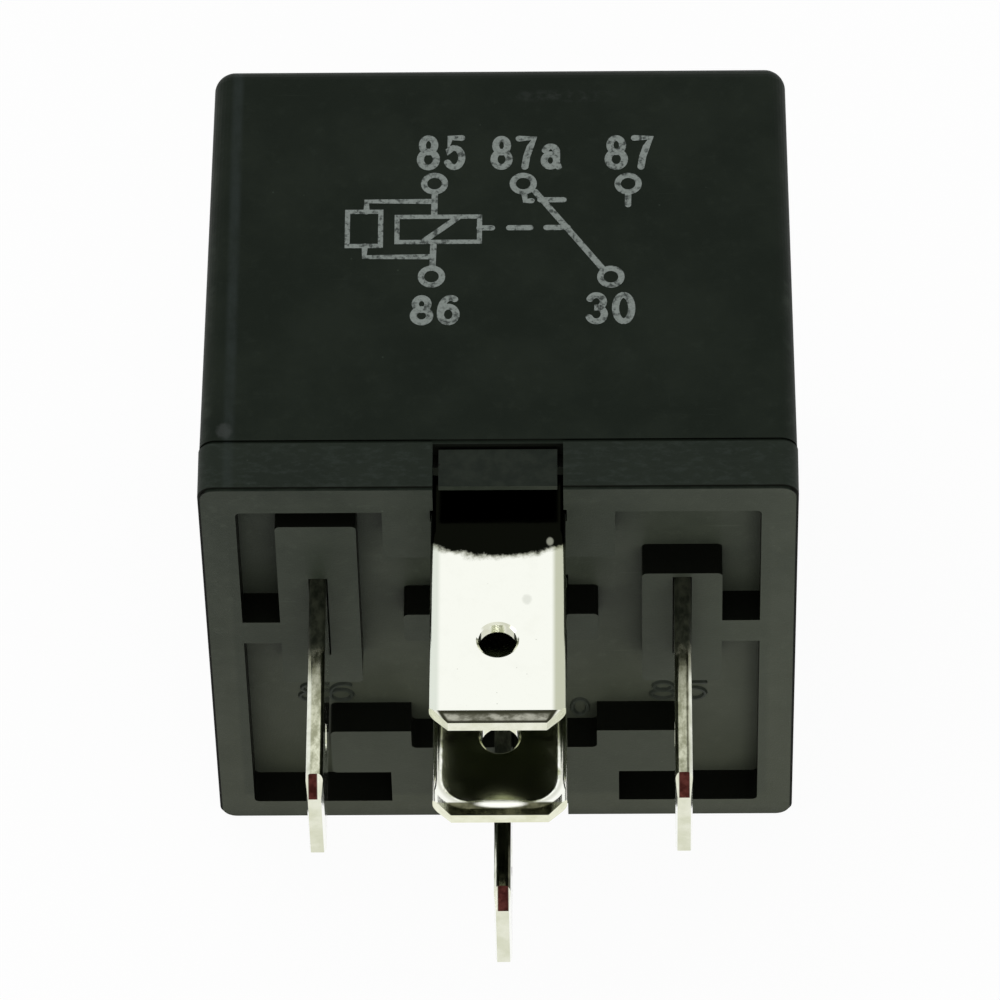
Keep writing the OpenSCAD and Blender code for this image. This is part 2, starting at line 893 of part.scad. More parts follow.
// Rivet through the leaf with a contact head on both sides
module moving_contact() {
    color([0.9, 0.9, 0.88])
        opened()
            translate([0, contact_y, leaf_z])
                rotate_extrude()
                    polygon([
                        [0, -contact_h], [head_r - head_edge, -contact_h], [head_r, head_edge - contact_h],
                        [head_r, 0], [contact_shank_r, 0], [contact_shank_r, leaf_t], [head_r, leaf_t],
                        [head_r, leaf_t + contact_h - head_edge],
                        [head_r - head_edge, leaf_t + contact_h], [0, leaf_t + contact_h]
                    ]);
}

// Contact rivet on an arm: its face is at z = 0 and its shank runs away from it
module fixed_contact() {
    arm_back = contact_h + blade_t;
    rotate_extrude()
        polygon([
            [0, 0], [contact_r - face_edge, 0], [contact_r, face_edge], [contact_r, contact_h],
            [contact_shank_r, contact_h], [contact_shank_r, arm_back], [peen_r, arm_back],
            [peen_r - peen_edge, arm_back + rivet_head_h], [0, arm_back + rivet_head_h]
        ]);
}

module fixed_contact_87() {
    color([0.9, 0.9, 0.88])
        translate([0, contact_y, no_contact_z])
            mirror([0, 0, 1])
                fixed_contact();
}

module fixed_contact_87a() {
    color([0.9, 0.9, 0.88])
        translate([0, contact_y, nc_contact_z])
            fixed_contact();
}

// ---- spring, braid and resistor ----

function low_hook() = [
    for (b = [hook_turn : -hook_step : 0])
        [[0, spring_r * cos(b), low_hook_z - spring_r * sin(b)], [0, cos(b), -sin(b)], [0, sin(b), cos(b)]]
];

function high_hook() = [
    for (b = [0 : hook_step : hook_turn])
        [[0, spring_r * cos(b), high_hook_z + spring_r * sin(b)], [0, cos(b), sin(b)], [0, -sin(b), cos(b)]]
];

function spring_coils() = [
    for (i = [0 : spring_turns * turn_steps])
        let (
            a = 360 * i / turn_steps,
            z = coil_low + (coil_high - coil_low) * i / (spring_turns * turn_steps)
        )
            [[spring_r * sin(a), spring_r * cos(a), z], [sin(a), cos(a), 0], [cos(a), -sin(a), 0]]
];

module return_spring() {
    color([0.75, 0.75, 0.72])
        translate([0, spring_y, 0])
            sweep(concat(low_hook(), spring_coils(), high_hook()), spring_wire_d / 2, spring_sides);
}

// Braid from the leaf's back corner down to the foot of terminal 30, bowed out behind the yoke
function braid_path() = [
    for (i = [0 : braid_steps])
        let (
            s = i / braid_steps,
            drop = braid_top - foot_top,
            slope = braid_bow * PI * sin(360 * s) / drop
        )
            [
                [braid_x, braid_y + braid_bow * (1 - cos(360 * s)) / 2, foot_top + drop * s],
                [1, 0, 0],
                [0, slope, 1] / norm([0, slope, 1])
            ]
];

module copper_braid() {
    color([0.8, 0.45, 0.28])
        sweep(braid_path(), braid_d / 2, braid_sides);
}

module resistor_body() {
    end_r = resistor_d / 2;
    mid_r = end_r - resistor_waist;
    half = resistor_l / 2;
    neck = half - resistor_cap_l;
    color([0.5, 0.65, 0.75])
        translate([0, resistor_y, resistor_z])
            rotate([0, 90, 0])
                rotate_extrude()
                    polygon([
                        [0, -half], [end_r - resistor_edge, -half], [end_r, resistor_edge - half],
                        [end_r, -neck], [mid_r, resistor_edge - neck], [mid_r, neck - resistor_edge],
                        [end_r, neck], [end_r, half - resistor_edge], [end_r - resistor_edge, half],
                        [0, half]
                    ]);
}

module resistor_leads() {
    reach = coil_x - blade_t / 2 - resistor_l / 2;
    color("silver")
        for (side = [0, 1])
            mirror([side, 0, 0])
                translate([resistor_l / 2, resistor_y, resistor_z])
                    rotate([0, 90, 0])
                        cylinder(d = resistor_wire_d, h = reach, $fn = wire_facets);
}

lay_on_back() cover();
lay_on_back() base();
lay_on_back() terminal_87();
lay_on_back() terminal_87a();
lay_on_back() terminal_30();
lay_on_back() terminal_85();
lay_on_back() terminal_86();
lay_on_back() yoke();
lay_on_back() core();
lay_on_back() bobbin();
lay_on_back() coil_winding();
lay_on_back() armature();
lay_on_back() armature_rivets();
lay_on_back() contact_leaf();
lay_on_back() moving_contact();
lay_on_back() fixed_contact_87();
lay_on_back() fixed_contact_87a();
lay_on_back() return_spring();
lay_on_back() copper_braid();
lay_on_back() resistor_body();
lay_on_back() resistor_leads();
lay_on_back() yoke_rivet();
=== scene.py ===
"""Looks for the changeover relay: materials, print, numerals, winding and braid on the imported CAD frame."""

import math

import bpy
from mathutils import Matrix, Vector
from mathutils.bvhtree import BVHTree


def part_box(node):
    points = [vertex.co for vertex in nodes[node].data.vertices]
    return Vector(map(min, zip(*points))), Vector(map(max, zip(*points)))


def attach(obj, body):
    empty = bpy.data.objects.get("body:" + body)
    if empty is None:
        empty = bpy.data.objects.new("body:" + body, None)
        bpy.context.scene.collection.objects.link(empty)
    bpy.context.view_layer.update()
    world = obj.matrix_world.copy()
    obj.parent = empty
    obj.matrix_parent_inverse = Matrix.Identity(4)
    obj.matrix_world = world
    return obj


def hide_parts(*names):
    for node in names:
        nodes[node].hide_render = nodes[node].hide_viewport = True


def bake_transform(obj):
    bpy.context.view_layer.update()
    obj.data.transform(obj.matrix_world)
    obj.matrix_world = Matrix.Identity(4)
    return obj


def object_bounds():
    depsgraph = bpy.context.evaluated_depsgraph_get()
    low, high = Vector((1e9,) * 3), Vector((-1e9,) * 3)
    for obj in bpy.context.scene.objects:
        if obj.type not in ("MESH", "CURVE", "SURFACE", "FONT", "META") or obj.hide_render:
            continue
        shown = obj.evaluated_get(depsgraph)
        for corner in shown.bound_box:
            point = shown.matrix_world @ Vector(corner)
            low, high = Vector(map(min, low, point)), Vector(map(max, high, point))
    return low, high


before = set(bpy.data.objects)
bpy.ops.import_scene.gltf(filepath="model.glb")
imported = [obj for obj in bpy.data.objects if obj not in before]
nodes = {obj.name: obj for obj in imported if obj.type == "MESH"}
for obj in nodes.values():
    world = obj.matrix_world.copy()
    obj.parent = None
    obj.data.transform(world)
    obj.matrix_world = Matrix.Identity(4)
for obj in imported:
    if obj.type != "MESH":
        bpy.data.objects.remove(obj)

MM = 0.001
TURN = 2 * math.pi
cad_low, cad_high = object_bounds()

# Height along Y, in millimetres, of the base's underside, where the blades come out
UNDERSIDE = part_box("base")[0].y / MM


# ---- camera, fitted to the photograph ----

AZIMUTH, ELEVATION, ROLL = 1.432, 55.071, -1.485
DISTANCE = 406.0 * MM
TARGET = Vector((0.098, -6.7, 27.105)) * MM
LENS, SENSOR = 313.8, 36
NEAREST, FARTHEST = 0.02, 20


def add_camera():
    a, e, r = (math.radians(v) for v in (AZIMUTH, ELEVATION, ROLL))
    back = Vector((math.sin(a) * math.cos(e), -math.cos(a) * math.cos(e), math.sin(e)))
    level = Vector((math.cos(a), math.sin(a), 0))
    upright = back.cross(level)
    right = math.cos(r) * level + math.sin(r) * upright
    up = back.cross(right)
    camera = bpy.data.objects.new("camera", bpy.data.cameras.new("camera"))
    camera.data.lens = LENS
    camera.data.sensor_width = SENSOR
    camera.data.clip_start = NEAREST
    camera.data.clip_end = FARTHEST
    turn = Matrix((right, up, back)).transposed().to_4x4()
    camera.matrix_world = Matrix.Translation(TARGET + back * DISTANCE) @ turn
    bpy.context.scene.collection.objects.link(camera)
    bpy.context.scene.camera = camera


# ---- node materials ----

class Look:
    """A material with short names for its nodes. Positions are in millimetres of the shared frame."""

    # How far inside the CAD box the housing's rounded edges lie
    EDGE_INSET = 0.35

    def __init__(self, name, **sockets):
        self.material = bpy.data.materials.new(name)
        self.material.use_nodes = True
        self.tree = self.material.node_tree
        self.tree.nodes.clear()
        self.out = self.node("ShaderNodeOutputMaterial")
        self.shader = self.node("ShaderNodeBsdfPrincipled")
        self.feed(self.out.inputs[0], self.shader.outputs[0])
        self.set(**sockets)
        where = self.node("ShaderNodeTexCoord")
        self.place = self.vector("MULTIPLY", where.outputs["Object"], (1 / MM, 1 / MM, 1 / MM))
        self.x, self.y, self.z = self.split(self.place)
        # How much the surface faces along each axis
        self.nx, self.ny, self.nz = (self.size(n) for n in self.split(where.outputs["Normal"]))

    def node(self, kind, **settings):
        made = self.tree.nodes.new(kind)
        for key, value in settings.items():
            setattr(made, key, value)
        return made

    def feed(self, socket, value):
        """Links another node's output to a socket, or sets a constant on it."""
        if isinstance(value, bpy.types.NodeSocket):
            self.tree.links.new(value, socket)
        else:
            socket.default_value = value

    def set(self, **sockets):
        """Feeds sockets of the shader, named with underscores."""
        for name, value in sockets.items():
            self.feed(self.shader.inputs[name.replace("_", " ")], value)

    def split(self, value):
        made = self.node("ShaderNodeSeparateXYZ")
        self.feed(made.inputs[0], value)
        return made.outputs

    def vector(self, operation, a, b):
        made = self.node("ShaderNodeVectorMath", operation=operation)
        self.feed(made.inputs[0], a)
        self.feed(made.inputs[1], b)
        return made.outputs[0]

    def math(self, operation, a, b=0.0, clamp=False):
        made = self.node("ShaderNodeMath", operation=operation, use_clamp=clamp)
        self.feed(made.inputs[0], a)
        self.feed(made.inputs[1], b)
        return made.outputs[0]

    def size(self, value):
        return self.math("ABSOLUTE", value)

    def add(self, a, b, clamp=False):
        return self.math("ADD", a, b, clamp)

    def less(self, a, b, clamp=False):
        """The value a less b."""
        return self.math("SUBTRACT", a, b, clamp)

    def most(self, a, b):
        return self.math("MAXIMUM", a, b)

    def times(self, *factors):
        """Product of masks, values and numbers; of masks alone, where all of them hold."""
        made = factors[0]
        for factor in factors[1:]:
            made = self.math("MULTIPLY", made, factor)
        return made

    def step(self, value, low, high, to=(0.0, 1.0)):
        """Smooth step of a value, from where it is low to where it is high."""
        made = self.node("ShaderNodeMapRange", interpolation_type="SMOOTHSTEP")
        for socket, v in zip(made.inputs[:5], (value, low, high, *to)):
            self.feed(socket, v)
        return made.outputs[0]

    def between(self, value, rise, fall):
        """Mask of a range of a value. rise and fall hold where each edge is 0 and where it is 1."""
        return self.times(self.step(value, *rise), self.step(value, *fall))

    def noise(self, scale, detail=3.0, roughness=0.55, stretch=(1, 1, 1)):
        """Noise with a number of waves per millimetre."""
        made = self.node("ShaderNodeTexNoise")
        self.feed(made.inputs["Vector"], self.vector("MULTIPLY", self.place, stretch))
        made.inputs["Scale"].default_value = scale
        made.inputs["Detail"].default_value = detail
        made.inputs["Roughness"].default_value = roughness
        return made.outputs["Fac"]

    def uneven(self, *noise):
        """Noise about zero."""
        return self.less(self.noise(*noise), 0.5)

    def specks(self, scale, size, share):
        """Mask of scattered dots: a share of the cells of a Voronoi pattern."""
        made = self.node("ShaderNodeTexVoronoi")
        self.feed(made.inputs["Vector"], self.place)
        made.inputs["Scale"].default_value = scale
        pick = self.node("ShaderNodeSeparateColor")
        self.feed(pick.inputs[0], made.outputs["Color"])
        chosen = self.step(pick.outputs[0], 1 - share, 1 - share + 0.02)
        dot = self.step(made.outputs["Distance"], size, size * 0.4)
        return self.times(chosen, dot)

    def mark(self, centre, size, ragged):
        """Mask of one spot with a ragged rim. Centre and size are across and along, in plan."""
        away = [
            self.math("DIVIDE", self.less(v, c), r)
            for v, c, r in zip((self.x, self.y), centre, size)
        ]
        far = self.add(self.times(away[0], away[0]), self.times(away[1], away[1]))
        far = self.add(far, self.times(self.noise(2.2 / max(size), 3), ragged))
        return self.step(far, 1.0 + 0.5 * ragged, 0.3 + 0.3 * ragged)

    def crevice(self, reach):
        """Mask of the inner corners within a reach of the surface."""
        made = self.node("ShaderNodeAmbientOcclusion", samples=8)
        made.inputs["Distance"].default_value = reach * MM
        return self.step(made.outputs["AO"], 0.85, 0.25)

    def near_edge(self, width):
        """Mask of the long edges of the housing, from where the point lies in the CAD box."""
        low, high = cad_low / MM, cad_high / MM
        across = [
            self.less(self.size(self.less(v, (a + b) / 2)), (b - a) / 2)
            for v, a, b in ((self.x, low.x, high.x), (self.z, low.z, high.z))
        ]
        up = self.less(self.y, high.y)
        corner = self.math("MINIMUM", *across)
        rim = self.math("MINIMUM", up, self.most(*across))
        return self.step(self.most(corner, rim), -width - self.EDGE_INSET, -self.EDGE_INSET)

    def mix(self, factor, a, b):
        made = self.node("ShaderNodeMix", data_type="RGBA")
        for socket, v in ((made.inputs[0], factor), (made.inputs[6], a), (made.inputs[7], b)):
            self.feed(socket, (*v, 1.0) if isinstance(v, tuple) and len(v) == 3 else v)
        return made.outputs[2]

    def over(self, colour, mask, tint, share):
        """A colour with a share of a tint over it where a mask is set."""
        return self.mix(self.times(mask, share), colour, tint)

    def bump(self, height, distance, strength=1.0, after=None):
        made = self.node("ShaderNodeBump")
        made.inputs["Strength"].default_value = strength
        made.inputs["Distance"].default_value = distance * MM
        self.feed(made.inputs["Height"], height)
        if after is not None:
            self.feed(made.inputs["Normal"], after)
        return made.outputs[0]


def plastic(name, dark, light, rough, specular, dust, grain):
    """Moulded plastic with cloudy colour, dust, fine scratches, worn corners and a grained surface."""
    look = Look(name, IOR=1.5, Specular_IOR_Level=specular)
    pale = tuple(min(1, 2.2 * v + 0.012) for v in light)
    colour = look.mix(look.step(look.noise(0.30, 5, 0.6), 0.35, 0.7), dark, light)
    haze = look.step(look.noise(1.7, 4, 0.65), 0.52, 0.80, (0.0, 0.45 * dust))
    colour = look.mix(haze, colour, pale)
    dots = look.times(look.specks(1.3, 0.08, 0.22), look.step(look.noise(0.8), 0.4, 0.7))
    colour = look.mix(dots, colour, pale)
    along = look.step(look.noise(2.4, 2, stretch=(0.10, 2.4, 2.4)), 0.69, 0.78, (0.0, 0.5 * dust))
    colour = look.mix(along, colour, pale)
    upward = look.step(look.noise(3.4, 2, stretch=(2.2, 0.12, 2.2)), 0.71, 0.80, (0.0, 0.35 * dust))
    colour = look.mix(upward, colour, pale)
    worn = look.times(look.near_edge(0.4), look.step(look.noise(1.1, 4), 0.45, 0.75, (0.0, 0.45)))
    look.colour = look.mix(worn, colour, pale)
    look.rough = look.step(look.noise(0.9, 4), 0.2, 0.8, (rough - 0.025, rough + 0.025))
    waves = look.bump(look.noise(0.35, 2), 0.05, 0.25)
    coarse = look.bump(look.noise(9, 3), 0.02 * grain, 0.5, waves)
    fine = look.bump(look.noise(26, 2), 0.008 * grain, 0.6, coarse)
    look.set(Base_Color=look.colour, Roughness=look.rough, Normal=fine)
    return look


def metal(name, colour, dull, rough, lines=0.4, along=(1, 1, 1), patches=0.35, wave=0.03):
    """Plated or rolled metal: fine lines along one direction, duller patches, pits and shallow waves."""
    look = Look(name, Metallic=1.0)
    patch = look.step(look.noise(0.8, 5, 0.6), 0.48, 0.72)
    drawn = look.noise(10, 3, 0.6, stretch=along)
    body = look.over(colour, patch, dull, patches)
    body = look.over(body, look.step(drawn, 0.55, 0.8), dull, 0.3 * lines)
    pits = look.specks(2.2, 0.10, 0.12)
    look.colour = look.over(body, pits, tuple(0.4 * v for v in dull), 0.4)
    spread = look.times(patch, 0.5 * rough)
    smoothest, roughest = max(0.03, 0.75 * rough), 1.35 * rough
    look.rough = look.add(spread, look.step(drawn, 0.3, 0.8, (smoothest, roughest)))
    wavy = look.bump(look.noise(0.7, 3), wave, 0.6)
    look.set(
        Base_Color=look.colour, Roughness=look.rough, Normal=look.bump(drawn, 0.004 * lines, 0.5, wavy)
    )
    return look


def paint(node, look):
    """Puts one look in all the slots of a CAD node, given by its name, or of a piece."""
    mesh = nodes[node].data if isinstance(node, str) else node.data
    mesh.materials.clear()
    mesh.materials.append(look.material)


# ---- meshes ----

def add_mesh(name, vertices, faces, look, body, smooth=False):
    """A piece from vertices in millimetres. It rides with a body, if one is given."""
    mesh = bpy.data.meshes.new(name)
    mesh.from_pydata([Vector(v) * MM for v in vertices], [], faces)
    mesh.validate()
    mesh.update()
    piece = bpy.data.objects.new(name, mesh)
    bpy.context.scene.collection.objects.link(piece)
    paint(piece, look)
    mesh.polygons.foreach_set("use_smooth", [smooth] * len(mesh.polygons))
    if body:
        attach(piece, body)
    return piece


def arc(x, y, rx, ry, start, end, count=14):
    turns = [math.radians(start + (end - start) * i / count) for i in range(count + 1)]
    return [(x + rx * math.cos(a), y + ry * math.sin(a)) for a in turns]


def ring(x, y, rx, ry, count=26):
    return arc(x, y, rx, ry, 0, 360, count)


# Strokes of plain numerals in a box one unit wide and one high
STROKES = {
    "0": [ring(0.5, 0.5, 0.44, 0.5)],
    "3": [arc(0.46, 0.75, 0.38, 0.25, 155, -88) + arc(0.46, 0.27, 0.43, 0.27, 88, -155)],
    "5": [[(0.88, 1.0), (0.24, 1.0), (0.14, 0.5)] + arc(0.48, 0.33, 0.42, 0.33, 138, -150)],
    "6": [ring(0.5, 0.32, 0.42, 0.32), arc(0.62, 0.40, 0.54, 0.60, 184, 66)],
    "7": [[(0.06, 1.0), (0.94, 1.0), (0.70, 0.70), (0.50, 0.36), (0.40, 0.0)]],
    "8": [ring(0.5, 0.755, 0.34, 0.245), ring(0.5, 0.27, 0.44, 0.27)],
    "a": [
        ring(0.42, 0.22, 0.36, 0.22),
        arc(0.44, 0.50, 0.34, 0.22, 160, 0) + [(0.78, 0.12), (0.88, 0.0)],
    ],
}


def lettered(text, left, low, width, height, pitch):
    """Strokes of a word of plain numerals."""
    return [
        [(left + i * pitch + x * width, low + y * height) for x, y in line]
        for i, mark in enumerate(text)
        for line in STROKES[mark]
    ]


def ribbon(line, width):
    """Outline of a stroke as pairs of points left and right of its line, and whether it is closed.

    An open stroke gets round ends.
    """
    closed = math.dist(line[0], line[-1]) < 1e-6
    points = [Vector(p) for p in line]
    sides = []
    for i, p in enumerate(points):
        before = points[i - 1] if i else (points[-2] if closed else p)
        after = points[i + 1] if i < len(points) - 1 else (points[1] if closed else p)
        along = ((p - before).normalized() + (after - p).normalized()).normalized()
        sides.append((p, Vector((-along.y, along.x))))
    if not closed:
        for end, sign in ((0, -1), (-1, 1)):
            p, n = sides[end]
            along = Vector((n.y, -n.x)) * sign
            steps = [(p + along * width / 2 * math.sin(t), n * math.cos(t)) for t in (0.5, 1.0, 1.4)]
            sides = steps[::-1] + sides if end == 0 else sides + steps
    return [(p + n * width / 2, p - n * width / 2) for p, n in sides], closed


def raised(name, lines, width, height, onto, look, soft=0.0):
    """Strokes laid on a surface as thin closed solids.

    onto(u, v) gives the point and the outward normal there. soft is the share of the width that each
    side slopes. The heights of strokes that cross differ a little, so that no two faces coincide.
    """
    rooted, apart, levels = 0.02, 0.0006, 7
    vertices, faces = [], []
    for k, line in enumerate(lines):
        outline, closed = ribbon(line, width)
        top = height + apart * (k % levels)
        start = len(vertices)
        for left, right in outline:
            inner = [left.lerp(right, soft), left.lerp(right, 1 - soft)]
            for (u, v), lift in ((left, -rooted), (inner[0], top), (inner[1], top), (right, -rooted)):
                point, normal = onto(u, v)
                vertices.append(point + normal * lift)
        count = len(outline)
        for i in range(count - 1):
            a, b = start + 4 * i, start + 4 * (i + 1)
            for j in range(4):
                faces.append((a + j, a + (j + 1) % 4, b + (j + 1) % 4, b + j))
        if not closed:
            faces.append((start + 3, start + 2, start + 1, start))
            last = start + 4 * (count - 1)
            faces.append((last, last + 1, last + 2, last + 3))
    return add_mesh(name, vertices, faces, look, "housing")


def surface_of(node):
    """Finds the point of a CAD node along a ray, in millimetres."""
    mesh = nodes[node].data
    tree = BVHTree.FromPolygons([v.co[:] for v in mesh.vertices], [p.vertices[:] for p in mesh.polygons])

    def find(start, direction):
        hit, normal, _, _ = tree.ray_cast(Vector(start) * MM, Vector(direction))
        return (hit / MM, normal) if hit else (Vector(start), -Vector(direction))

    return find


# ---- stage ----

WHITE = (1, 1, 1, 1)
FLOOR_SIZE, FLOOR_DROP = 6, 0.02 * MM
FLOOR_GREY = (0.92, 0.92, 0.92, 1)

# Share of plain white in the floor that the camera and the reflections see
FLOOR_GLOW = 0.95

# Strength of the world as a light, and as it is seen
WORLD_LIT, WORLD_SEEN = 0.55, 1.0

# Name, place in metres, size in metres, power in watts, whether it shows in reflections
LAMPS = (
    ("front_light", (0.08, -0.62, 0.10), 0.40, 2.3, True),
    ("top_light", (-0.15, 0.20, 0.62), 0.45, 0.9, False),
    ("left_light", (-0.55, -0.15, 0.25), 0.3, 0.4, True),
)


def add_floor():
    """White floor that takes the part's shadow."""
    bpy.ops.mesh.primitive_plane_add(size=FLOOR_SIZE, location=(0, 0, cad_low.z - FLOOR_DROP))
    floor = bpy.context.object
    floor.name = "floor"
    look = Look("floor", Base_Color=FLOOR_GREY, Roughness=0.9, Specular_IOR_Level=0.1)
    glow = look.node("ShaderNodeEmission")
    glow.inputs["Color"].default_value = WHITE
    rays = look.node("ShaderNodeLightPath")
    seen = look.add(rays.outputs["Is Camera Ray"], rays.outputs["Is Glossy Ray"])
    seen = look.add(seen, rays.outputs["Is Transmission Ray"], clamp=True)
    blend = look.node("ShaderNodeMixShader")
    look.feed(blend.inputs[0], look.times(seen, FLOOR_GLOW))
    look.feed(blend.inputs[1], look.shader.outputs[0])
    look.feed(blend.inputs[2], glow.outputs[0])
    look.feed(look.out.inputs[0], blend.outputs[0])
    paint(floor, look)


def add_world():
    """White world, dimmer as a light than as it is seen."""
    world = bpy.data.worlds.new("world")
    world.use_nodes = True
    bpy.context.scene.world = world
    tree = world.node_tree
    tree.nodes.clear()
    out = tree.nodes.new("ShaderNodeOutputWorld")
    back = tree.nodes.new("ShaderNodeBackground")
    rays = tree.nodes.new("ShaderNodeLightPath")
    seen = rays.outputs["Is Camera Ray"]
    for kind in ("Is Glossy Ray", "Is Transmission Ray"):
        either = tree.nodes.new("ShaderNodeMath")
        either.operation = "ADD"
        either.use_clamp = True
        tree.links.new(seen, either.inputs[0])
        tree.links.new(rays.outputs[kind], either.inputs[1])
        seen = either.outputs[0]
    level = tree.nodes.new("ShaderNodeMapRange")
    level.inputs["To Min"].default_value = WORLD_LIT
    level.inputs["To Max"].default_value = WORLD_SEEN
    tree.links.new(seen, level.inputs["Value"])
    tree.links.new(level.outputs[0], back.inputs["Strength"])
    back.inputs["Color"].default_value = WHITE
    tree.links.new(back.outputs[0], out.inputs[0])


def add_lamps():
    for name, place, size, power, glossy in LAMPS:
        lamp = bpy.data.objects.new(name, bpy.data.lights.new(name, "AREA"))
        lamp.data.energy = power
        lamp.data.size = size
        lamp.visible_glossy = glossy
        lamp.location = place
        lamp.rotation_euler = (-Vector(place)).to_track_quat("-Z", "Y").to_euler()
        bpy.context.scene.collection.objects.link(lamp)


# ---- finishes of the housing ----

BLACK = (0.0042, 0.0048, 0.0033)

# Top of the band around the cover's foot, and top of the groove above it
BAND_TOP, SEAM_TOP = UNDERSIDE + 2.6, UNDERSIDE + 2.9

# Distance from the middle to the painted highlight beside the cover's left edge, and to the recess's side
HIGHLIGHT_LINE, RECESS_SIDE = 12.65, 12.6


def cover_finish():
    """Black cover: worn at its foot, with a painted highlight beside its left edge, painted shade on the lip
    under the band and in the groove above it, and a scuff or two on its face.
    """
    look = plastic(
        "cover_plastic", (0.0065, 0.0102, 0.0064), (0.0105, 0.0150, 0.0100),
        rough=0.5, specular=0.07, dust=0.30, grain=1.0,
    )
    # Painted highlight: a lighter, uneven line beside the cover's left edge
    line = look.times(
        look.between(look.x, (-HIGHLIGHT_LINE - 0.3, -HIGHLIGHT_LINE), (-HIGHLIGHT_LINE + 0.45, -HIGHLIGHT_LINE + 0.15)),
        look.step(look.noise(0.9, 4, 0.65, (1, 0.5, 1)), 0.30, 0.62, (0.25, 0.75)),
    )
    colour = look.mix(line, look.colour, (0.022, 0.029, 0.026))
    band = look.step(look.y, BAND_TOP + 0.15, BAND_TOP)
    colour = look.over(colour, band, (0.024, 0.031, 0.024), 0.35)
    streaks = look.times(band, look.step(look.noise(2.9, 4, 0.65, (0.6, 1.3, 1)), 0.45, 0.70))
    colour = look.over(colour, streaks, (0.028, 0.036, 0.030), 0.5)
    front = look.step(look.nz, 0.8, 0.95)
    scuff = look.times(front, look.mark((-12.8, UNDERSIDE + 3.4), (0.45, 0.55), 0.9))
    colour = look.over(colour, scuff, (0.05, 0.056, 0.052), 0.55)
    rub = look.times(
        front, look.mark((3.0, UNDERSIDE + 23.2), (3.2, 0.5), 1.0),
        look.step(look.noise(2.0, 3), 0.4, 0.7),
    )
    colour = look.over(colour, rub, (0.04, 0.046, 0.042), 0.35)
    # Painted shade: the lip under the band and the groove above it are near black, as in the shadow of the
    # joint and of the groove
    lip_shade = look.times(
        look.step(look.ny, 0.6, 0.9), look.step(look.y, UNDERSIDE + 0.6, UNDERSIDE + 0.4)
    )
    groove_shade = look.between(look.y, (BAND_TOP, BAND_TOP + 0.06), (SEAM_TOP, SEAM_TOP - 0.04))
    groove_shade = look.times(groove_shade, look.step(look.ny, 0.5, 0.9))
    look.set(Base_Color=look.mix(look.most(lip_shade, groove_shade), colour, BLACK))
    return look


def base_finish():
    """Base: its faces are textured and painted lighter than the cover's plastic, as painted light; its recess
    and inner corners carry painted shade, and the walls between the faces, polished for the mould to draw,
    are painted near black as shade.
    """
    # Painted light: the same plastic as the cover, painted lighter, as its faces look where the light falls
    # on them
    look = plastic(
        "base_plastic", (0.0225, 0.028, 0.0195), (0.035, 0.041, 0.030),
        rough=0.5, specular=0.10, dust=0.5, grain=1.2,
    )
    low, high = (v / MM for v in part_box("base"))
    # Painted light: lighter towards the floor, as the floor's light falls on it
    colour = look.mix(look.step(look.z, high.z, low.z, (0.0, 0.42)), look.colour, (0.07, 0.074, 0.05))
    front_rim = look.times(
        look.step(look.y, low.y + 0.05, low.y - 0.01), look.step(look.z, high.z - 2.0, high.z - 0.2)
    )
    colour = look.over(colour, front_rim, (0.018, 0.022, 0.016), 0.30)
    # Painted shade: the recess's floor is darker, where shade falls in it
    recess = look.times(
        look.step(look.y, low.y + 0.3, low.y + 0.1),
        look.step(look.size(look.x), RECESS_SIDE + 0.3, RECESS_SIDE),
        look.step(look.z, low.z + 1.6, low.z + 2.2),
        look.step(look.z, high.z - 1.0, high.z - 1.6),
    )
    colour = look.over(colour, recess, (0.020, 0.025, 0.017), 0.42)
    # Painted light: darker towards the left and lighter towards the right, as the light falls
    colour = look.mix(look.step(look.x, -9, -14, (0, 0.22)), colour, (0.018, 0.022, 0.016))
    colour = look.mix(look.step(look.x, 2, 14, (0, 0.30)), colour, (0.062, 0.070, 0.050))
    # Painted shade: darker in the inner corners, from ambient occlusion
    colour = look.over(colour, look.crevice(1.8), (0.009, 0.011, 0.008), 0.6)
    # Painted shade: the walls between the faces, where this mask is 0, are painted near black
    walls = look.step(look.ny, 0.6, 0.9)
    colour = look.mix(walls, BLACK, colour)

    tongue = look.times(look.step(look.z, high.z - 1.0, high.z - 0.6), look.step(look.nz, 0.7, 0.9))
    clouds = look.step(look.noise(1.6, 4), 0.35, 0.7)
    tongue_colour = look.mix(clouds, (0.008, 0.012, 0.008), (0.015, 0.020, 0.014))
    pits = look.times(tongue, look.specks(1.5, 0.13, 0.3))
    colour = look.mix(tongue, colour, look.mix(pits, tongue_colour, BLACK))
    look.set(Base_Color=colour, Roughness=look.less(look.rough, look.step(walls, 1, 0, (0.0, 0.12))))
    return look


# ---- finishes of the blades ----

# Inside the base, where the painted reflection of the dark base at the blades' roots ends
ROOT_REFLECTION_END = (UNDERSIDE + 2.2, UNDERSIDE + 1.9)


def blade_box(node):
    """Lowest and highest corner, in millimetres, of a terminal's blade near its tip."""
    near = 2 * MM
    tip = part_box(node)[0].y
    found = [v.co / MM for v in nodes[node].data.vertices if v.co.y < tip + near]
    return [Vector([pick(v[i] for v in found) for i in range(3)]) for pick in (min, max)]


def tin(name):
    return metal(
        name, (0.94, 0.955, 0.88), (0.76, 0.77, 0.68),
        rough=0.10, lines=0.5, along=(6, 0.5, 6), patches=0.10, wave=0.01,
    )


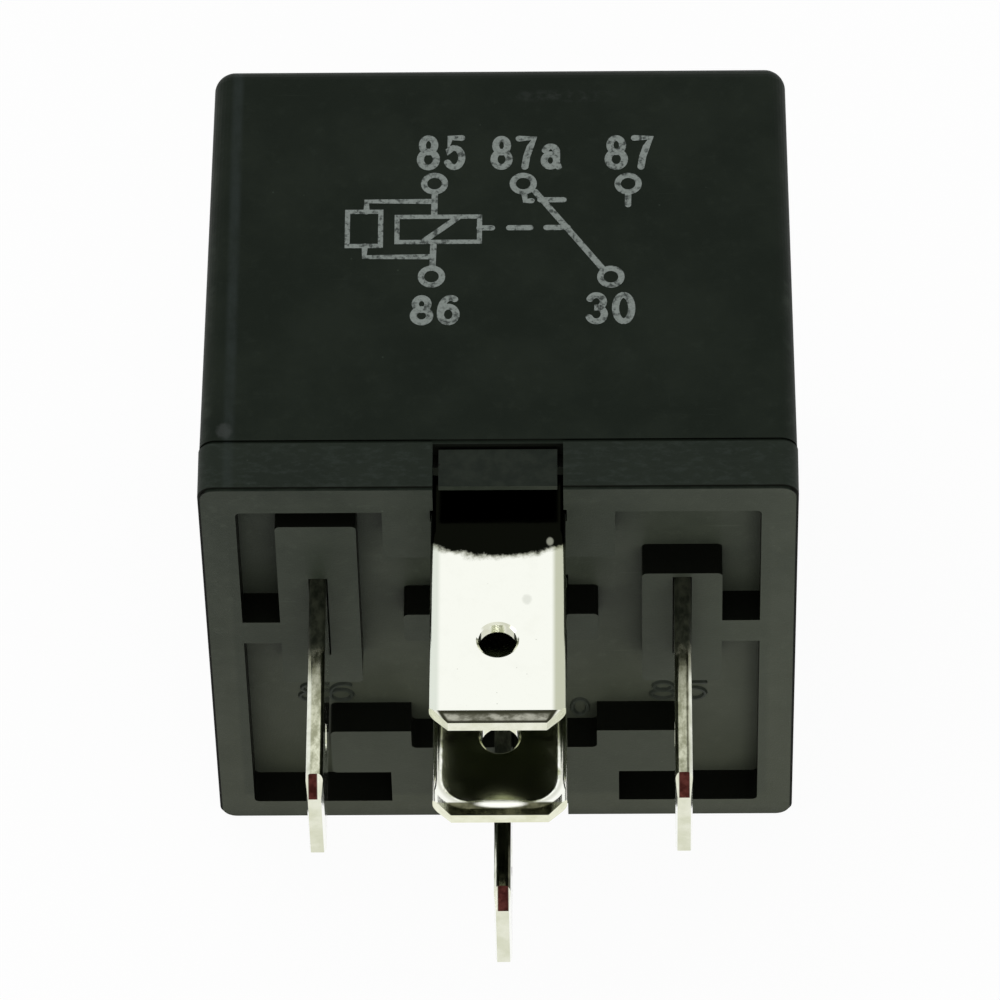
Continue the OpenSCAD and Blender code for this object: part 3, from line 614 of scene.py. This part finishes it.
def ends(look, colour, tip):
    """A blade's end: bright end face and corners, and a slope whose grey bar has a shadowed border."""
    # Half widths at the tip of the bar and of the shadow around it, and how much they grow upward
    bar_half, shadow_half, growth = 2.24, 2.40, 0.6
    reach = look.less(look.size(look.x), look.times(look.less(look.y, tip), growth))
    slope = look.times(
        look.between(look.ny, (0.04, 0.10), (0.45, 0.30)), look.step(look.y, tip + 0.95, tip + 0.85)
    )
    bar = look.times(
        look.step(reach, bar_half, bar_half - 0.12),
        look.step(look.y, tip + 0.08, tip + 0.18), look.step(look.y, tip + 0.55, tip + 0.38),
    )
    grain = look.step(look.noise(1.5, 4, 0.65, (0.8, 1.6, 0.8)), 0.36, 0.66)
    grey = look.mix(grain, (0.10, 0.10, 0.07), (0.42, 0.42, 0.35))
    inside = look.mix(bar, (0.035, 0.036, 0.022), grey)
    beside = look.step(reach, shadow_half - 0.08, shadow_half + 0.04)
    colour = look.mix(slope, colour, look.mix(beside, inside, (0.80, 0.81, 0.70)))
    soft = look.step(look.noise(1.1, 3), 0.3, 0.7)
    end = look.mix(soft, (0.74, 0.75, 0.60), (0.86, 0.87, 0.74))
    colour = look.mix(look.step(look.ny, 0.88, 0.96), colour, end)
    corner = look.between(look.ny, (0.40, 0.55), (0.96, 0.88))
    return look.mix(corner, colour, look.mix(soft, (0.60, 0.61, 0.48), (0.76, 0.77, 0.64)))


def front_blade():
    """Blade 87: bright tin with darker strips along its rolled edges, as painted reflection, and a painted
    dark reflection of the base at its root that ends in a ragged line.
    """
    look = tin("tin_front")
    low, high = blade_box("terminal_87")
    # Painted reflection: darker strips along the rolled edges, where they mirror the dark surroundings
    left = look.step(look.x, low.x + 0.55, low.x + 0.30, (0, 0.6))
    right = look.step(look.x, high.x - 0.68, high.x - 0.42, (0, 0.8))
    colour = look.mix(left, look.colour, (0.60, 0.66, 0.57))
    colour = look.mix(right, colour, (0.44, 0.46, 0.32))
    dent = look.mark((1.35, UNDERSIDE - 5.0), (0.28, 0.35), 0.5)
    colour = look.over(colour, dent, (0.5, 0.52, 0.45), 0.35)
    colour = ends(look, colour, low.y)

    # The painted reflection of the dark base reaches lower in the middle of the blade than at its sides
    reflection_low, sag = UNDERSIDE - 2.62, 0.07
    front = look.times(look.step(look.z, high.z - 0.5, high.z - 0.3), look.step(look.y, *ROOT_REFLECTION_END))
    ragged = look.times(look.uneven(1.3, 4, 0.7), 0.9)
    depth = look.add(look.less(look.y, look.times(look.x, look.x, sag)), ragged)
    fringe = look.times(front, look.step(depth, reflection_low - 0.23, reflection_low + 0.12))
    colour = look.over(colour, fringe, (0.16, 0.17, 0.10), 0.75)
    root_reflection = look.times(front, look.step(depth, reflection_low, reflection_low + 0.20))
    speck = look.mark((2.42, UNDERSIDE - 1.75), (0.20, 0.28), 0.3)
    root_reflection = look.less(root_reflection, look.times(speck, 0.7), clamp=True)
    look.set(Base_Color=look.mix(root_reflection, colour, (0.0035, 0.004, 0.0025)))
    return look


def middle_blade():
    """Blade 87a: a face painted with the dark reflection of blade 87, pale flecks in it, inside a bright
    pressed rim, and a bright lens at the tip.
    """
    look = tin("tin_middle")
    low, high = blade_box("terminal_87a")
    tip = low.y
    # Outline of the painted reflection: straight sides and rounded corners above the tip
    corner_r, half_w, foot = 1.3, 2.72, tip + 0.75
    reach = look.size(look.x)
    across = look.most(look.less(reach, half_w - corner_r), 0.0)
    down = look.most(look.less(foot + corner_r, look.y), 0.0)
    away = look.math("SQRT", look.add(look.times(across, across), look.times(down, down)))
    wobble = look.times(look.uneven(1.6, 4), 0.5)
    dark_reflection = look.step(look.add(away, wobble), corner_r + 0.1, corner_r - 0.1)
    higher = look.step(look.add(look.y, wobble), tip + 3.3, tip + 4.6)
    near_side = look.add(look.times(look.step(reach, 1.6, 2.6), 0.6), 0.10)
    fleck = look.times(look.step(look.noise(2.0, 5, 0.7, (1.2, 0.8, 1)), 0.56, 0.66), near_side)
    face = look.times(look.step(look.nz, 0.5, 0.8), look.step(look.z, high.z - 0.5, high.z - 0.3))
    reflected_colour = look.mix(fleck, (0.42, 0.45, 0.28), (0.95, 0.96, 0.80))
    colour = look.mix(look.times(face, look.most(dark_reflection, higher)), look.colour, reflected_colour)
    border = look.times(
        face, look.step(away, corner_r + 0.34, corner_r + 0.16),
        look.step(away, corner_r + 0.02, corner_r + 0.14),
    )
    colour = look.over(colour, border, (0.35, 0.36, 0.24), 0.35)
    # Painted reflection: darkest towards the root, where the face mirrors the back of blade 87
    darkest_reflection = look.times(
        face, look.step(look.y, tip + 3.5, tip + 4.3),
        look.step(look.noise(2.2, 4), 0.3, 0.6, (0.9, 0.5)),
    )
    colour = look.mix(darkest_reflection, colour, (0.07, 0.075, 0.045))

    shallow = look.step(look.ny, 0.45, 0.30)
    slope = look.times(look.step(look.y, tip + 0.72, tip + 0.62), shallow)
    clouds = look.step(look.noise(1.5, 3), 0.35, 0.7)
    olive = look.mix(clouds, (0.05, 0.052, 0.028), (0.18, 0.18, 0.11))
    rim = look.step(reach, 2.35, 2.55)
    colour = look.mix(slope, colour, look.mix(rim, olive, (0.72, 0.73, 0.58)))
    lens = look.times(look.mark((0.05, tip + 0.58), (1.38, 0.24), 0.12), shallow)
    colour = look.mix(lens, colour, (0.95, 0.96, 0.88))

    pressed = look.step(away, corner_r + 0.46, corner_r - 0.02)
    drawn = look.shader.inputs["Normal"].links[0].from_socket
    look.set(
        Normal=look.bump(pressed, 0.15, 1.0, drawn),
        Roughness=look.add(look.rough, look.times(lens, 0.4)),
    )
    soft = look.step(look.noise(1.1, 3), 0.3, 0.7)
    end = look.mix(soft, (0.72, 0.73, 0.53), (0.84, 0.85, 0.68))
    look.set(Base_Color=look.mix(look.step(look.ny, 0.45, 0.6), colour, end))
    return look


def edge_blade(node, bright, shade, copper, level):
    """A blade seen on its edge, which shows the sheared metal.

    bright, shade and copper are spans across the edge: a painted highlight strip, a painted shaded strip and
    bare copper at the tip's cut corner. level is how much of the sheared metal's brightness is kept; below 1
    it darkens the edge as painted shade.
    """
    look = tin("tin_edge_" + node)
    low, high = blade_box(node)
    side = look.less(look.x, (low.x + high.x) / 2)

    def strip(span, blur=0.05):
        return look.between(side, (span[0] - blur, span[0] + blur), (span[1] + blur, span[1] - blur))

    edge = look.step(look.z, high.z - 0.42, high.z - 0.30)
    mottle = look.step(look.noise(1.9, 4, 0.65, (1.2, 0.7, 1)), 0.34, 0.68)
    sheared = look.mix(mottle, (0.32, 0.33, 0.22), (0.72, 0.735, 0.57))
    # Painted reflection of the dark base: the sheared edge darker towards the root, and painted shade on
    # blades with a lower level
    lower = look.step(look.y, UNDERSIDE - 4.2, UNDERSIDE - 8.5)
    sheared = look.over(sheared, look.less(1.0, lower), (0.06, 0.062, 0.035), 0.68)
    sheared = look.mix(1 - level, sheared, (0.03, 0.034, 0.018))
    # Painted highlight along the bright span, and painted shade along the shade span
    lit = look.mix(look.step(look.noise(0.9, 3), 0.3, 0.7), (0.56, 0.58, 0.47), (0.82, 0.84, 0.74))
    sheared = look.mix(look.times(strip(bright), look.step(lower, 0.0, 0.35)), sheared, lit)
    gloom = look.mix(mottle, (0.015, 0.016, 0.008), (0.12, 0.12, 0.075))
    sheared = look.mix(strip(shade), sheared, gloom)
    colour = look.mix(edge, look.colour, sheared)

    # Painted reflection of the dark base at the root, which takes away the shine
    height = look.add(look.y, look.times(look.uneven(1.5, 4, 0.7, (2, 1, 2)), 2.2))
    root_reflection = look.times(
        edge, look.step(height, UNDERSIDE - 4.5, UNDERSIDE - 3.7), look.step(look.y, *ROOT_REFLECTION_END)
    )
    colour = look.mix(root_reflection, colour, look.mix(mottle, (0.008, 0.010, 0.006), (0.036, 0.040, 0.026)))
    look.set(
        Metallic=look.less(1.0, look.times(root_reflection, 0.85)),
        Roughness=look.add(look.rough, look.times(root_reflection, 0.35)),
        Specular_IOR_Level=0.12,
    )

    soft = look.step(look.noise(0.8, 3), 0.3, 0.7)
    end = look.step(look.ny, 0.35, 0.5)
    colour = look.mix(end, colour, look.mix(soft, (0.66, 0.675, 0.52), (0.80, 0.81, 0.68)))
    cut = look.times(
        end, look.step(look.ny, 0.95, 0.85), look.step(look.nz, 0.35, 0.5), strip(copper, 0.03)
    )
    clouds = look.step(look.noise(2.5, 3), 0.3, 0.7)
    bare = look.mix(clouds, (0.035, 0.009, 0.007), (0.095, 0.028, 0.022))
    look.set(Base_Color=look.mix(cut, colour, bare))
    return look


def finish_cad():
    paint("cover", cover_finish())
    paint("base", base_finish())
    paint("terminal_87", front_blade())
    paint("terminal_87a", middle_blade())
    for node, bright, shade, copper, level in (
        ("terminal_86", (-0.5, -0.20), (0.30, 0.5), (-0.28, 0.14), 1.0),
        ("terminal_85", (0.26, 0.5), (0.14, 0.22), (-0.24, 0.26), 0.85),
        ("terminal_30", (-0.5, -0.24), (0.28, 0.5), (-0.22, 0.30), 0.15),
    ):
        paint(node, edge_blade(node, bright, shade, copper, level))

    iron = metal("plated_iron", (0.62, 0.60, 0.52), (0.36, 0.33, 0.26), 0.3, 0.6, (3, 3, 0.6))
    rivet = metal("rivet_metal", (0.70, 0.69, 0.64), (0.45, 0.44, 0.40), 0.28)
    copper = metal("leaf_copper", (0.78, 0.42, 0.22), (0.45, 0.20, 0.10), 0.25, 0.8, (0.5, 5, 5))
    silver = metal("contact_silver", (0.88, 0.87, 0.83), (0.60, 0.58, 0.52), 0.22)
    steel = metal("spring_steel", (0.55, 0.55, 0.54), (0.30, 0.29, 0.27), 0.3)
    moulded = plastic("bobbin_plastic", (0.55, 0.53, 0.44), (0.66, 0.64, 0.55), 0.42, 0.4, 0.2, 0.8)
    coating = plastic("resistor_coating", (0.14, 0.27, 0.36), (0.20, 0.36, 0.46), 0.25, 0.5, 0.2, 0.4)
    for look, names in (
        (iron, ("yoke", "core", "armature")),
        (rivet, ("armature_rivets", "yoke_rivet", "resistor_leads")),
        (copper, ("contact_leaf",)),
        (silver, ("moving_contact", "fixed_contact_87", "fixed_contact_87a")),
        (steel, ("return_spring",)),
        (moulded, ("bobbin",)),
        (coating, ("resistor_body",)),
    ):
        for node in names:
            paint(node, look)


# ---- winding and braid ----

def add_tube(vertices, faces, path, radius, sides):
    """Adds a closed round tube along a list of points."""
    first, last = len(vertices), len(path) - 1
    across = Vector((0, 0, 1))
    for i, p in enumerate(path):
        along = (path[min(i + 1, last)] - path[max(i - 1, 0)]).normalized()
        across = (across - along * across.dot(along)).normalized()
        over = along.cross(across)
        turns = (TURN * k / sides for k in range(sides))
        vertices += [p + radius * (math.cos(t) * across + math.sin(t) * over) for t in turns]
    for i in range(last):
        for k in range(sides):
            a, b = first + i * sides, first + (i + 1) * sides
            faces.append((a + k, a + (k + 1) % sides, b + (k + 1) % sides, b + k))
    faces.append(tuple(first + k for k in range(sides - 1, -1, -1)))
    faces.append(tuple(first + last * sides + k for k in range(sides)))


def mean_of(node, keep):
    """Mean place, in millimetres, of the vertices of a CAD node that a test keeps."""
    found = [v for v in (v.co / MM for v in nodes[node].data.vertices) if keep(v)]
    return sum(found, Vector()) / len(found)


def add_winding():
    """Wound wire in place of the plain ring: its outer layer of turns, and twisted ends to the posts."""
    wire_r, wire_sides, turn_steps = 0.075, 6, 40
    lead_lay, lead_steps, lead_in = 0.7, 70, 0.6
    sleeve_slices = 48
    low, high = (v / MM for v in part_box("coil_winding"))
    outer = (high.z - low.z) / 2
    axis = Vector(((low.x + high.x) / 2, 0, (low.z + high.z) / 2))
    turns = int((high.y - low.y) / (2 * wire_r)) - 1
    pitch = (high.y - low.y - 2 * wire_r) / turns

    def around(radius, turn, y):
        t = TURN * turn
        return axis + Vector((radius * math.cos(t), y, radius * math.sin(t)))

    paths = [[
        around(outer - wire_r, i / turn_steps, low.y + wire_r + pitch * i / turn_steps)
        for i in range(turns * turn_steps + 1)
    ]]
    lead = mean_of("coil_winding", lambda v: v.x > outer + 0.1)
    start = math.sqrt(outer**2 - (lead.z - axis.z) ** 2) - lead_in
    for side in (-1, 1):
        for strand in (0, 0.5):
            path = []
            for i in range(lead_steps + 1):
                x = start + (high.x - start) * i / lead_steps
                t = TURN * (x / lead_lay + strand)
                path.append(
                    Vector((side * x, lead.y + wire_r * math.cos(t), lead.z + wire_r * math.sin(t)))
                )
            paths.append(path)

    vertices, faces = [], []
    for path in paths:
        add_tube(vertices, faces, path, wire_r, wire_sides)

    # Sleeve under the turns, as thick as the winding
    inner = min(
        (Vector((v.co.x, 0, v.co.z)) / MM - axis).length for v in nodes["coil_winding"].data.vertices
    )
    rim = [(inner, low.y), (outer - wire_r, low.y), (outer - wire_r, high.y), (inner, high.y)]
    first = len(vertices)
    vertices += [around(r, i / sleeve_slices, y) for i in range(sleeve_slices) for r, y in rim]
    for i in range(sleeve_slices):
        for k in range(4):
            a, b = first + 4 * i, first + 4 * ((i + 1) % sleeve_slices)
            faces.append((a + k, a + (k + 1) % 4, b + (k + 1) % 4, b + k))
    look = metal(
        "enamelled_copper", (0.50, 0.16, 0.055), (0.36, 0.105, 0.036),
        rough=0.24, lines=0.5, along=(0.6, 6, 0.6), wave=0.0,
    )
    look.set(Coat_Weight=0.5, Coat_Roughness=0.15)
    piece = add_mesh("wound_wire", vertices, faces, look, "housing", smooth=True)
    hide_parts("coil_winding")


def add_braid():
    """Woven copper braid in place of the plain rod: pairs of wires over and under each other."""
    wire_r, wire_sides, weave = 0.055, 5, 0.05
    lanes, steps = 8, 150
    heart_steps, heart_sides = 24, 12
    # Distance between the wires of a pair, in wire radii across the lane
    pair = 2.1
    low, high = (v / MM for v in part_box("copper_braid"))
    outer = (high.x - low.x) / 2
    bow = high.z - low.z - 2 * outer
    middle = outer - wire_r - weave
    length = high.y - low.y
    turns = length / (TURN * middle)

    def centre(s):
        sag = bow * (1 - math.cos(TURN * s)) / 2
        return Vector(((low.x + high.x) / 2, low.y + length * s, high.z - outer - sag))

    vertices, faces = [], []
    for hand in (-1, 1):
        for lane in range(lanes):
            for beside in (-0.5, 0.5):
                path = []
                for i in range(steps + 1):
                    s = i / steps
                    t = hand * TURN * turns * s + TURN * lane / lanes
                    radius = middle + hand * weave * math.cos(lanes * t)
                    t += beside * pair * wire_r / middle * math.sqrt(2)
                    path.append(centre(s) + radius * Vector((math.cos(t), 0, math.sin(t))))
                add_tube(vertices, faces, path, wire_r, wire_sides)
    heart = [centre(i / heart_steps) for i in range(heart_steps + 1)]
    add_tube(vertices, faces, heart, middle - weave, heart_sides)
    look = metal(
        "braid_copper", (0.62, 0.27, 0.12), (0.36, 0.13, 0.06),
        rough=0.28, lines=0.6, along=(3, 3, 3), patches=0.5, wave=0.01,
    )
    piece = add_mesh("woven_braid", vertices, faces, look, None, smooth=True)
    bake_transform(piece)
    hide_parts("copper_braid")


# ---- print and moulded numerals ----

# Distance from which rays look for a surface
OUTSIDE = 60

# Printed numbers: text, left, low, right, high
PRINTED = (
    ("85", -3.97, 18.74, -1.55, 20.81),
    ("87a", -0.45, 18.74, 3.07, 20.75),
    ("87", 5.00, 18.70, 7.45, 20.75),
    ("86", -4.22, 9.51, -1.78, 11.24),
    ("30", 4.07, 9.51, 6.49, 11.36),
)
PRINT_INSET, PRINT_GAP = 0.15, 0.38

# Terminals of the circuit
CIRCLES = ((-3.08, 17.91), (1.15, 17.88), (6.15, 17.84), (-3.18, 12.36), (5.31, 12.29))
CIRCLE_R = 0.50

WIRES = [
    [(6.15, 17.30), (6.14, 16.58)],
    [(1.20, 17.34), (1.25, 16.85), (1.55, 16.85)],
    [(1.97, 16.90), (3.07, 16.90)],
    [(1.72, 17.40), (4.92, 12.78)],
    [(-3.53, 14.50), (-1.96, 15.86)],
    [(-3.06, 17.36), (-3.08, 16.00)],
    [(-3.10, 14.36), (-3.14, 12.90)],
    [(-6.30, 16.24), (-6.30, 16.86), (-3.12, 16.84)],
    [(-6.36, 14.20), (-6.37, 13.54), (-3.18, 13.54)],
]

# Dashes of the line from the coil to the contact, all at one height
DASHES, DASH_HEIGHT = ((-0.92, -0.33), (0.49, 1.49), (2.26, 3.26)), 15.24

# Coil and resistor: left, low, right, high
BOXES = ((-4.84, 14.42, -0.92, 15.92), (-7.20, 14.20, -5.62, 16.24))

# Moulded numbers: text, left, low, width and height of a numeral, pitch
MOULDED = (
    ("86", -9.95, -6.15, 1.25, 1.4, 1.45),
    ("85", 7.06, -6.15, 1.3, 1.4, 1.52),
    ("30", 1.75, -7.5, 0.85, 1.3, 1.5),
)


def add_print():
    """Circuit and numbers on the marked face. Positions are across, and up from the base's underside."""
    look = Look("print_ink", Roughness=0.6, Specular_IOR_Level=0.2)
    worn = look.step(look.noise(3.2, 4, 0.65), 0.34, 0.52)
    grain = look.step(look.noise(9, 3), 0.25, 0.6, (0.55, 1.0))
    ink = look.mix(grain, (0.10, 0.117, 0.108), (0.235, 0.265, 0.245))
    look.set(Base_Color=look.mix(worn, (0.04, 0.048, 0.043), ink))
    find = surface_of("cover")

    def onto(u, v):
        return find((u, v + UNDERSIDE, OUTSIDE), (0, 0, -1))

    numbers = []
    for text, left, low, right, high in PRINTED:
        left, low = left + PRINT_INSET, low + PRINT_INSET
        right, high = right - PRINT_INSET, high - PRINT_INSET
        width = (right - left - PRINT_GAP * (len(text) - 1)) / len(text)
        numbers += lettered(text, left, low, width, high - low, width + PRINT_GAP)
    circles = [ring(x, y, CIRCLE_R, CIRCLE_R) for x, y in CIRCLES]
    wires = WIRES + [[(a, DASH_HEIGHT), (b, DASH_HEIGHT)] for a, b in DASHES]
    boxes = [
        [(left, low), (right, low), (right, high), (left, high), (left, low)]
        for left, low, right, high in BOXES
    ]
    for name, lines, width, height in (
        ("print_numbers", numbers, 0.34, 0.012),
        ("print_circles", circles, 0.30, 0.014),
        ("print_wires", wires, 0.30, 0.013),
        ("print_boxes", boxes, 0.34, 0.015),
    ):
        raised(name, lines, width, height, onto, look)


def add_numerals():
    """Numerals moulded in the recess of the base. Positions are across, and up from the body's middle."""
    # Painted light: lighter than the cover's plastic, like the base's faces
    look = plastic("numeral_plastic", (0.020, 0.024, 0.018), (0.032, 0.037, 0.028), 0.45, 0.12, 0.4, 0.6)
    find = surface_of("base")
    low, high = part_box("base")
    middle = (low.z + high.z) / 2 / MM

    def onto(u, v):
        return find((u, -OUTSIDE, v + middle), (0, 1, 0))

    lines = [line for row in MOULDED for line in lettered(*row)]
    piece = raised("moulded_numerals", lines, 0.26, 0.12, onto, look, soft=0.3)


add_camera()
add_floor()
add_world()
add_lamps()
finish_cad()
add_winding()
add_braid()
add_print()
add_numerals()

bpy.context.scene.view_settings.view_transform = "Standard"
